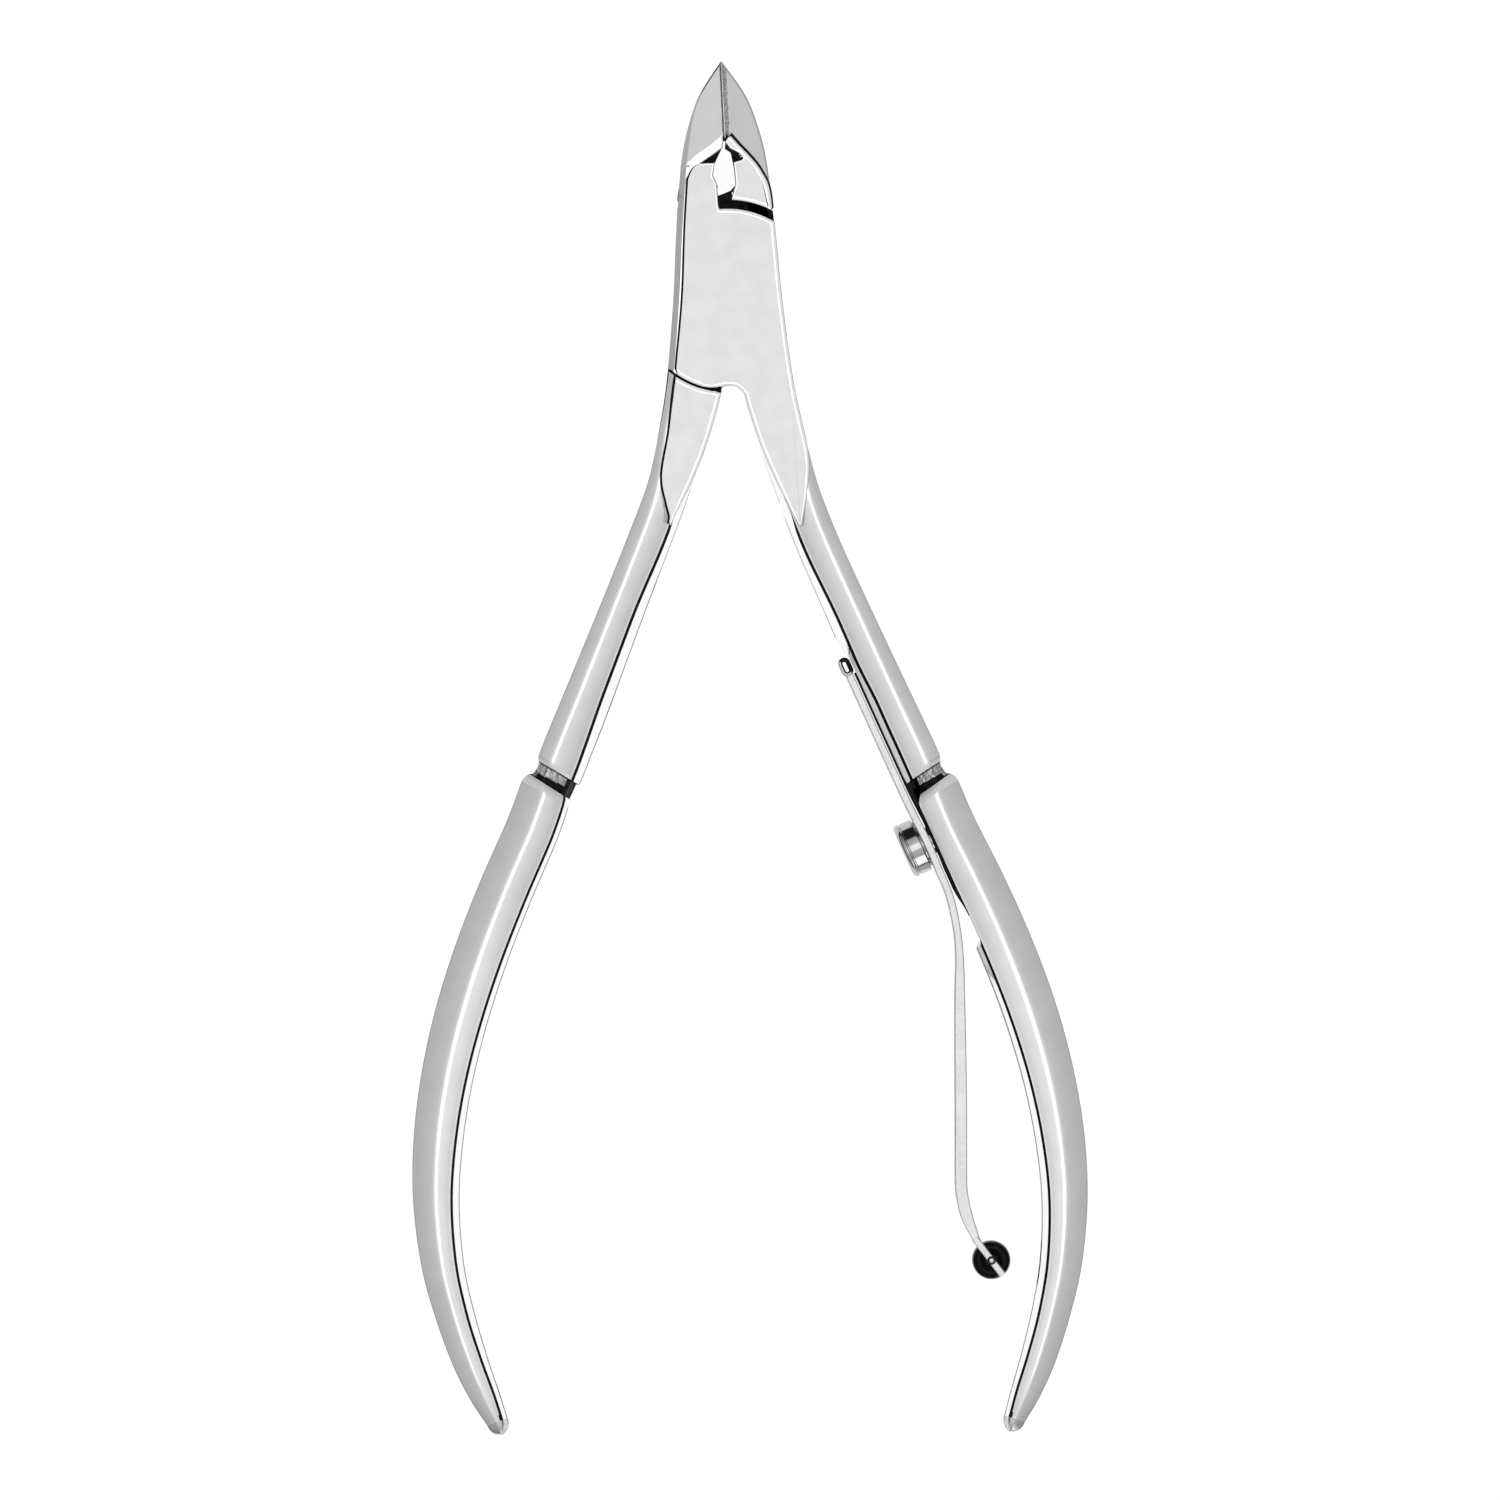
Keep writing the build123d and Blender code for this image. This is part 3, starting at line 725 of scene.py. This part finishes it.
def handle(side):
    """Neck, handle and filed waist of the lever on one side."""
    upper = smooth(UPPER_HANDLE, 10)
    waist = straight(WAIST, 5)
    lower = smooth(LOWER_HANDLE, 10)
    stations = upper + waist + lower + handle_tip(LOWER_HANDLE[-1])
    rings = [handle_ring(s, side) for s in stations]
    rings[0] = [(x, -math.sqrt(SEAM_RADIUS**2 - x * x), z) for x, y, z in rings[0]]
    first = len(upper)
    rings = [scored(ring) if r - first in GROOVE_RINGS else ring for r, ring in enumerate(rings)]
    end = len(upper + waist + lower)

    def kind(r, i):
        column = min(i, LAST_COLUMN - i)
        step = r - first
        # In the filed groove, its ends, its lips and a shaded corner of its floor are painted shade.
        if step in GROOVE_RINGS:
            if step not in FLOOR_RINGS or column >= LIP_COLUMNS.start:
                return DARK
            in_shade = column > 8 and step > 20 - 0.15 * column
            return DARK if in_shade else FILED
        # The rest of the waist, out to the lip, carries a painted highlight.
        if step in WAIST_RINGS and column < LIP_COLUMNS.stop:
            return PAINTED_HIGHLIGHT
        if r >= end - 1:
            return SATIN
        # The step, and the lip near the tip, are painted shade.
        if column in STEP_COLUMNS or (r >= end - 4 and column in LIP_COLUMNS):
            return DARK
        if column == 0 or column >= WALL_COLUMN:
            return WALL
        # The flatter bevel beside the leaf and the lip elsewhere carry a painted highlight.
        painted_bright_bevel = column > STEP_COLUMNS.stop and beside_leaf(stations[r][1], side) > 0.5
        return PAINTED_HIGHLIGHT if painted_bright_bevel or column in LIP_COLUMNS else POLISHED

    return loft(rings, kind)


def leaf_lift(along):
    """How far in from the seat the middle of the leaf lies."""
    lift = LEAF_GAP + LEAF_THICKNESS - 0.34
    return lift + 0.16 * ease(along, -0.5, -5.0) + 0.06 * ease(along, 1.4, 2.6)


def seat_pad():
    """A thin dark pad on the seat under the leaf, painted shade for the gap between leaf and handle.
    """
    root, half = -0.05, 1.3
    rings = []
    for i in range(46):
        along = -15.4 + 0.5 * i
        reach = leaf_lift(along) - 0.42 - 0.28 * ease(along, 4.5, 6.9)
        section = ((root, -half), (reach, -half), (reach, half), (root, half))
        rings.append([(*at_seat(along, inward), MID + z) for inward, z in section])
    return loft(rings, DARK)


# ---- the leaf, its fork and the turned pieces --------------------------------------------


WASHER_FOOT = LEAF_GAP + LEAF_THICKNESS + 0.015
WASHER_THICKNESS = 0.15


def lathe(profile, place, kind=BRIGHT, count=64):
    """A closed solid of revolution. profile is (radius, height) from end to end; place turns a
    point (x, y, height) into the tool's frame."""
    rings = []
    for radius, height in profile:
        angles = [2 * math.pi * i / count for i in range(count)]
        rings.append([place(radius * math.cos(a), radius * math.sin(a), height) for a in angles])
    return loft(rings, kind)


def upright(centre):
    """Lays a turned shape along +Z at a point."""
    return lambda x, y, height: (centre[0] + x, centre[1] + y, height)


def seated(x, y, height):
    """Lays a turned shape along the screw's axis: x runs down the handle, y along +Z."""
    px, py = at_seat(x, height)
    return (px, py, MID + y)


def at_seat(along, inward):
    """A point beside the leaf's seat, from its distances down the handle and in from the seat."""
    x = SCREW_FOOT[0] + along * math.sin(SPRING_HEADING) - inward * math.cos(SPRING_HEADING)
    y = SCREW_FOOT[1] - along * math.cos(SPRING_HEADING) - inward * math.sin(SPRING_HEADING)
    return (x, y)


def along_tine(distance):
    """A point on the fork's middle line, from its distance past the roller's centre."""
    return (ROLLER_CENTRE[0] + distance * TINE_WAY[0], ROLLER_CENTRE[1] + distance * TINE_WAY[1])


def ribbon(path, thickness, low, high, closed=False, kind=BRIGHT, soft=0.09):
    """A strip on edge that follows a path in plan. thickness is a function of the share of the
    path, and soft is how far the edges are rounded."""
    quarter = [math.radians(90) * i / 3 for i in range(4)]
    corners = ((1, low, 1), (1, high, -1), (-1, high, -1), (-1, low, 1))
    rings = []
    last = len(path) - 1
    for i, (x, y) in enumerate(path):
        before = path[i - 1] if i or closed else path[0]
        after = path[(i + 1) % len(path)] if i < last or closed else path[last]
        way = (Vector(after) - Vector(before)).normalized()
        half = thickness(i / last) / 2
        outline = []
        for face, z, up in corners:
            round_off = []
            for t in quarter:
                across = face * half - face * soft * (1 - math.sin(t))
                round_off.append((across, z + up * soft * (1 - math.cos(t))))
            outline += round_off if face * up < 0 else round_off[::-1]
        rings.append([(x - way.y * a, y + way.x * a, z) for a, z in outline])
    if not closed:
        return loft(rings, kind)
    verts, faces, kinds = loft(rings + [rings[0]], kind)
    count = len(rings[0])
    wrapped = len(rings) * count
    faces = [tuple(i % wrapped for i in face) for face in faces[:-2]]
    return verts[:wrapped], faces, kinds[:-2]


LEAF_LOW, LEAF_HIGH = MID - LEAF_WIDTH / 2, MID + LEAF_WIDTH / 2
TINE_DEPTH = 0.7            # of each of the fork's two tines


def strip_thickness(share):
    """The leaf is thin on its seat, thicker down its free run and thin again at the fork."""
    return 0.64 + 0.38 * ease(share, 0.45, 0.65) - 0.40 * ease(share, 0.84, 0.98)


def strip():
    """The leaf itself: straight along its seat, then bowed in, then bent out to the roller."""
    seat_run = [at_seat(along, leaf_lift(along)) for along in (-15.6, -10, -4, 0, 2.6)]
    free_run = [
        (17.22, -50.40), (17.74, -53.00), (17.93, -55.60),
        (17.86, -59.20), (17.72, -67.60), (17.57, -73.60),
    ]
    bend = [(17.60, -75.40), (17.92, -77.20), (18.48, -78.72), along_tine(-1.9)]
    return ribbon(smooth(seat_run + free_run + bend, 10), strip_thickness, LEAF_LOW, LEAF_HIGH)


def eye():
    """The rolled eye at the leaf's upper end, with painted shade in its bore and round its top."""
    centre = at_seat(-16.15, LEAF_GAP + 0.72)
    turn = SPRING_HEADING - math.pi / 2
    count, stretch, radius = 40, 0.31, 0.33
    loop = []
    for i in range(count):
        a = 2 * math.pi * i / count
        x = stretch * (1 if math.cos(a) > 0 else -1) + radius * math.cos(a)
        y = radius * math.sin(a)
        loop.append((centre[0] + x * math.cos(turn) - y * math.sin(turn),
                     centre[1] + x * math.sin(turn) + y * math.cos(turn)))

    def kind(r, i):
        # These columns are painted shade.
        return SHADED if 3 < i < 7 or (3 <= r < 25 and 3 < i < 11) else BRIGHT

    return ribbon(loop, lambda s: 0.36, LEAF_LOW, LEAF_HIGH, closed=True, kind=kind, soft=0.14)


def fork():
    """Two tines, each with a boss round the axle that is painted dark as shade."""
    line = straight([along_tine(-2.3), along_tine(1.55)], 10)
    inner_low, inner_high = LEAF_LOW + TINE_DEPTH, LEAF_HIGH - TINE_DEPTH
    inset, proud = 0.02, 0.01
    tines = [
        ribbon(line, lambda s: 0.58, LEAF_LOW + inset, inner_low),
        ribbon(line, lambda s: 0.58, inner_high, LEAF_HIGH - inset),
    ]
    bosses = []
    for low, high in ((LEAF_LOW - proud, inner_low), (inner_high, LEAF_HIGH + proud)):
        half = [(0.01, low), (0.33, low), (0.36, low + 0.03)]
        profile = half + [(0.36, high - 0.03), (0.33, high), (0.01, high)]
        # The bosses are painted shade round the pin.
        bosses.append(lathe(profile, upright(ROLLER_CENTRE), kind=SHADED, count=40))
    return tines + bosses


def both_ends(profile):
    """A turned profile, given from its low end to its middle, and the same turned over."""
    return profile + [(r, 2 * MID - z) for r, z in profile[::-1]]


def roller():
    """A small black barrel with rounded rims, a shallow dish round the hub and a line round its
    middle."""
    low = MID - 1.4
    rim = [(1.10, low), (1.34, low + 0.05), (1.50, low + 0.17), (1.60, low + 0.42), (1.60, MID - 0.20)]
    hub = [(0.41, low + 0.16), (0.70, low + 0.12), (0.90, low + 0.03)]
    return [lathe(both_ends(hub + rim + [(1.55, MID - 0.12)]), upright(ROLLER_CENTRE))]


def axle():
    """The roller's pin, with a small turned head at each end."""
    low = LEAF_LOW - 0.04
    end = [(0.01, low), (0.12, low), (0.20, low + 0.02), (0.22, low + 0.06), (0.37, low + 0.16)]
    return [lathe(both_ends(end), upright(ROLLER_CENTRE), count=40)]


def screw():
    """A cheese head with a raised rounded rim, a shallow cup and a slot along the handle. The slot is
    a thin dark bar standing in the cup, painted shade.
    """
    foot = WASHER_FOOT + 0.015 + WASHER_THICKNESS
    top = foot + 1.66
    turns = [math.radians(15 * i) for i in range(7)]
    rim = [(2.35 - 0.42 * (1 - math.cos(t)), top - 0.42 * (1 - math.sin(t))) for t in turns]
    body = [(0.01, -2.6), (1.05, -2.6), (1.2, -2.45), (1.2, foot), (2.20, foot), (2.30, foot + 0.08)]
    neck = [(2.30, top - 0.66), (2.22, top - 0.60), (2.22, top - 0.54), (2.33, top - 0.48)]
    cup = [(1.35, top), (1.25, top - 0.10), (0.01, top - 0.12)]
    half_length, half_gap = 1.14, 0.40
    corners = (
        (-half_length, -half_gap), (half_length, -half_gap),
        (half_length, half_gap), (-half_length, half_gap),
    )
    # The slot is a dark bar, painted shade where a slot's hollow would be.
    slot = [[seated(x, y, height) for x, y in corners] for height in (top - 0.50, top - 0.095)]
    return [lathe(body + neck + rim + cup, seated), loft(slot, SHADED)]


def washer():
    """A thin ring with softened rims between the leaf and the screw's head."""
    low, high = WASHER_FOOT, WASHER_FOOT + WASHER_THICKNESS
    bore, soft_rim, rim = 1.24, 1.95, 2.0
    under = [(bore, low), (soft_rim, low), (rim, low + 0.04)]
    return [lathe(under + [(rim, high - 0.04), (soft_rim, high), (bore, high)], seated)]


def rivet():
    """The joint's pin, countersunk at both ends, a hair proud behind and sunk in front."""
    low, high = -0.015, THICKNESS - 0.03
    shank = 1.5
    behind = [(0.01, low), (2.12, low), (RIVET_HEAD_RADIUS - 0.03, low + 0.03)]
    profile = behind + [(shank, 0.7), (shank, high - 0.7), (2.1, high), (0.01, high)]
    return [lathe(profile, upright((0, 0)))]


# ---- materials ---------------------------------------------------------------------------


# Most of what a noise node gives lies between these.
NOISE_RANGE = (0.3, 0.7)


def metal(name, colour, rough, speck, grain, bump, stretch=(1, 1, 1), bare=1.0):
    """A finish. colour and rough are (low, high): colour varies with specks and rough with finer
    grain, both of the given sizes. bump is the grain's depth, stretch scales it along X, Y and Z,
    and bare is how metallic it looks. Sizes are in mm."""
    made = bpy.data.materials.new(name)
    made.use_nodes = True
    nodes, links = made.node_tree.nodes, made.node_tree.links
    shader = nodes["Principled BSDF"]
    shader.inputs["Metallic"].default_value = bare
    place = nodes.new("ShaderNodeTexCoord")
    mapping = nodes.new("ShaderNodeMapping")
    mapping.inputs["Scale"].default_value = stretch
    links.new(place.outputs["Object"], mapping.inputs["Vector"])
    broad = noise_node(nodes, links, mapping, speck, 4)
    fine = noise_node(nodes, links, mapping, grain, 3)
    low, high = NOISE_RANGE
    tone = ramp(nodes, links, broad.outputs["Fac"], ((low, colour[0]), (high, colour[1])))
    links.new(tone, shader.inputs["Base Color"])
    spread = nodes.new("ShaderNodeMapRange")
    spread.inputs["From Min"].default_value = low
    spread.inputs["From Max"].default_value = high
    spread.inputs["To Min"].default_value = rough[0]
    spread.inputs["To Max"].default_value = rough[1]
    links.new(fine.outputs["Fac"], spread.inputs["Value"])
    links.new(spread.outputs["Result"], shader.inputs["Roughness"])
    relief = nodes.new("ShaderNodeBump")
    relief.inputs["Strength"].default_value = 1.0
    relief.inputs["Distance"].default_value = bump * MM
    links.new(fine.outputs["Fac"], relief.inputs["Height"])
    links.new(relief.outputs["Normal"], shader.inputs["Normal"])
    return made


def noise_node(nodes, links, mapping, size, detail):
    """Noise with grains of a size in mm."""
    made = nodes.new("ShaderNodeTexNoise")
    made.inputs["Scale"].default_value = 1.0 / (size * MM)
    made.inputs["Detail"].default_value = detail
    links.new(mapping.outputs["Vector"], made.inputs["Vector"])
    return made


def ramp(nodes, links, factor, stops):
    """The grey that (position, brightness) stops give to a factor."""
    made = nodes.new("ShaderNodeValToRGB")
    elements = made.color_ramp.elements
    for i, (position, value) in enumerate(stops):
        element = elements[i] if i < 2 else elements.new(position)
        element.position = position
        element.color = grey(value)
    links.new(factor, made.inputs["Fac"])
    return made.outputs["Color"]


def grey(value):
    """An opaque grey."""
    return (value, value, value, 1.0)


def steel_finishes():
    """The lever's finishes, in the order of SATIN, POLISHED, EDGE, FILED, DARK, PAINTED_HIGHLIGHT and WALL."""
    return [
        metal("ground_steel", (0.595, 0.645), (0.26, 0.34), speck=1.6, grain=0.05, bump=0.0006),
        metal("polished_steel", (0.88, 0.93), (0.07, 0.13), speck=2.2, grain=0.12, bump=0.0004),
        metal("cutting_edge", (0.22, 0.66), (0.28, 0.42), speck=0.16, grain=0.09, bump=0.006),
        metal("filed_steel", (0.18, 0.80), (0.20, 0.36), speck=0.16, grain=0.08, bump=0.010,
              stretch=(1, 0.4, 1)),
        # Painted shade: near-black steel for steps, recess floors, lap faces, the gap by the leaf and
        # the shaded bits of the leaf and screw.
        metal("painted_shade_steel", (0.008, 0.028), (0.45, 0.60), speck=0.40, grain=0.10, bump=0.002),
        # Painted highlight: a near-white, mostly diffuse steel that lights the handles' lips, the
        # waist and the flatter bevel beside the leaf.
        metal("painted_highlight_steel", (0.94, 0.98), (0.30, 0.45), speck=0.60, grain=0.08, bump=0.001,
              bare=0.25),
        metal("side_steel", (0.50, 0.58), (0.16, 0.26), speck=1.40, grain=0.08, bump=0.0006),
    ]


def gloss_black():
    """The roller's moulded nylon."""
    made = metal("black_roller", (0.001, 0.004), (0.12, 0.24), speck=0.5, grain=0.12, bump=0.004,
                 bare=0.0)
    made.node_tree.nodes["Principled BSDF"].inputs["Specular IOR Level"].default_value = 0.10
    return made


# ---- putting the pieces together ---------------------------------------------------------


# An edge that turns by more than this is drawn sharp.
SHARPEST_SMOOTH = math.radians(28)


def piece(name, solids, finishes, body, node):
    """One visible object from several solids, in place of a node of the part."""
    verts, faces, kinds = [], [], []
    for solid_verts, solid_faces, solid_kinds in solids:
        base = len(verts)
        verts += [(x * MM, y * MM, z * MM) for x, y, z in solid_verts]
        faces += [tuple(base + i for i in face) for face in solid_faces]
        kinds += solid_kinds
    mesh = bpy.data.meshes.new(name)
    mesh.from_pydata(verts, [], faces)
    for finish in finishes:
        mesh.materials.append(finish)
    mesh.polygons.foreach_set("material_index", kinds)
    work = bmesh.new()
    work.from_mesh(mesh)
    bmesh.ops.recalc_face_normals(work, faces=work.faces)
    work.to_mesh(mesh)
    work.free()
    mesh.polygons.foreach_set("use_smooth", [True] * len(mesh.polygons))
    mesh.set_sharp_from_angle(angle=SHARPEST_SMOOTH)
    made = bpy.data.objects.new(name, mesh)
    bpy.context.scene.collection.objects.link(made)
    weighted = made.modifiers.new("weighted", "WEIGHTED_NORMAL")
    weighted.keep_sharp = True
    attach(made, body)
    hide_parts(node)


def math_node(nodes, links, operation, first, second):
    """One arithmetic node. second is a number or another node's output."""
    made = nodes.new("ShaderNodeMath")
    made.operation = operation
    links.new(first, made.inputs[0])
    if isinstance(second, (int, float)):
        made.inputs[1].default_value = second
    else:
        links.new(second, made.inputs[1])
    return made.outputs[0]


# The room's brightness by the height of a direction, from the horizon to straight up.
ROOM_SHADES = (
    (0.0, 0.015), (0.17, 0.02), (0.26, 0.26), (0.50, 0.42),
    (0.72, 0.58), (0.88, 0.70), (0.97, 0.86), (1.0, 0.95),
)
# The black and the white card, in directions: the Y where it starts, the Y where it is full, its
# brightness, the X of its middle and how far it reaches on either side.
CARDS = ((0.56, 0.66, 0.02, -0.30, 0.15), (-0.62, -0.68, 1.9, 0.30, 0.13))
CARD_FOOT = 0.12            # the height where both begin


def pale_floor():
    """A wide floor with a glow of its own, just under the tool."""
    floor_mesh = bpy.data.meshes.new("floor")
    side, level = 4.0, -0.0001
    corners = [(-side, -side, level), (side, -side, level), (side, side, level), (-side, side, level)]
    floor_mesh.from_pydata(corners, [], [(0, 1, 2, 3)])
    floor = bpy.data.objects.new("floor", floor_mesh)
    bpy.context.scene.collection.objects.link(floor)
    pale = bpy.data.materials.new("pale_floor")
    pale.use_nodes = True
    shader = pale.node_tree.nodes["Principled BSDF"]
    shader.inputs["Base Color"].default_value = grey(0.20)
    shader.inputs["Roughness"].default_value = 0.9
    shader.inputs["Specular IOR Level"].default_value = 0.0
    shader.inputs["Emission Color"].default_value = grey(1.0)
    shader.inputs["Emission Strength"].default_value = 0.93
    floor_mesh.materials.append(pale)


def overhead_light():
    """A soft round light straight above the tool."""
    data = bpy.data.lights.new("overhead", "AREA")
    data.shape = "DISK"
    data.size = 0.7
    data.energy = 0.80
    light = bpy.data.objects.new("overhead", data)
    light.location = (0.0, -0.04, 1.6)
    bpy.context.scene.collection.objects.link(light)


def room():
    """A grey room, dark at the horizon, with a black card past the jaws and a white one past the
    handles."""
    world = bpy.data.worlds.new("room")
    bpy.context.scene.world = world
    world.use_nodes = True
    nodes, links = world.node_tree.nodes, world.node_tree.links
    place = nodes.new("ShaderNodeTexCoord")
    split = nodes.new("ShaderNodeSeparateXYZ")
    links.new(place.outputs["Generated"], split.inputs["Vector"])
    shade = ramp(nodes, links, split.outputs["Z"], ROOM_SHADES)
    for edge, full, value, middle, reach in CARDS:
        card = nodes.new("ShaderNodeMapRange")
        card.inputs["From Min"].default_value = edge
        card.inputs["From Max"].default_value = full
        links.new(split.outputs["Y"], card.inputs["Value"])
        above = math_node(nodes, links, "GREATER_THAN", split.outputs["Z"], CARD_FOOT)
        beside = math_node(nodes, links, "COMPARE", split.outputs["X"], middle)
        beside.node.inputs[2].default_value = reach     # the tolerance of the comparison
        share = math_node(nodes, links, "MULTIPLY", above, beside)
        share = math_node(nodes, links, "MULTIPLY", share, card.outputs["Result"])
        mixed = nodes.new("ShaderNodeMix")
        mixed.data_type = "RGBA"    # with its colours in inputs 6 and 7, and output 2
        mixed.inputs[7].default_value = grey(value)
        links.new(share, mixed.inputs[0])
        links.new(shade, mixed.inputs[6])
        shade = mixed.outputs[2]
    links.new(shade, nodes["Background"].inputs["Color"])


def camera():
    """Straight down from far off, as the photograph looks. Its distances are in metres."""
    data = bpy.data.cameras.new("camera")
    data.sensor_width = 36
    distance, frame_width = 1.2, 0.1258
    aim_x, aim_y = 0.000857, -0.03778
    photo_turn = math.radians(1.55)
    data.lens = data.sensor_width * distance / frame_width
    data.clip_end = 20
    made = bpy.data.objects.new("camera", data)
    made.location = (aim_x, aim_y, distance + MID * MM)
    made.rotation_euler = (0, 0, -photo_turn)
    bpy.context.scene.collection.objects.link(made)
    bpy.context.scene.camera = made


finishes = steel_finishes()
spring_steel = metal("spring_steel", (0.58, 0.66), (0.26, 0.34), speck=0.9, grain=0.10, bump=0.0010,
                     stretch=(1, 0.3, 1))
plated = metal("plated_screw", (0.46, 0.54), (0.05, 0.10), speck=0.8, grain=0.10, bump=0.0006)
# The painted shade finish, for the leaf's eye and bosses and the screw's slot.
dark = finishes[DARK]

front_corner = (93.5, [(-0.57, 7.64), (-0.60, 7.90)])
rear_corner = (86.5, [(0.0, 8.90), (-0.55, 9.12), (-0.70, 9.30)])
front = head(
    FRONT_WALL, shift=0.15, top_radius=7.55, corner=front_corner, foot=9.40, edge_up=True,
    crotch=FRONT_CROTCH, neck=FRONT_NECK,
)
rear = head(
    REAR_WALL, shift=-0.17, top_radius=8.75, corner=rear_corner, foot=8.33, edge_up=False,
    crotch=REAR_CROTCH, neck=REAR_NECK,
)
front = front + [handle(RIGHT), seat_pad()]
rear = [turned_over(solid) for solid in rear] + [handle(LEFT)]
piece("front_lever_forging", front, finishes, "front_half", "front_lever")
piece("rear_lever_forging", rear, finishes, "rear_half", "rear_lever")
piece("pivot_rivet_turned", rivet(), [finishes[SATIN]], "front_half", "pivot_rivet")
leaf = [strip(), eye()] + fork()
piece("leaf_spring_strip", leaf, [spring_steel, dark], "spring", "leaf_spring")
piece("spring_screw_turned", screw(), [plated, dark], "front_half", "spring_screw")
piece("spring_washer_turned", washer(), [plated], "spring", "spring_washer")
piece("roller_wheel", roller(), [gloss_black()], "roller", "roller")
piece("roller_axle_pin", axle(), [plated], "spring", "roller_axle")

pale_floor()
overhead_light()
room()
camera()
bpy.context.scene.view_settings.view_transform = "Standard"
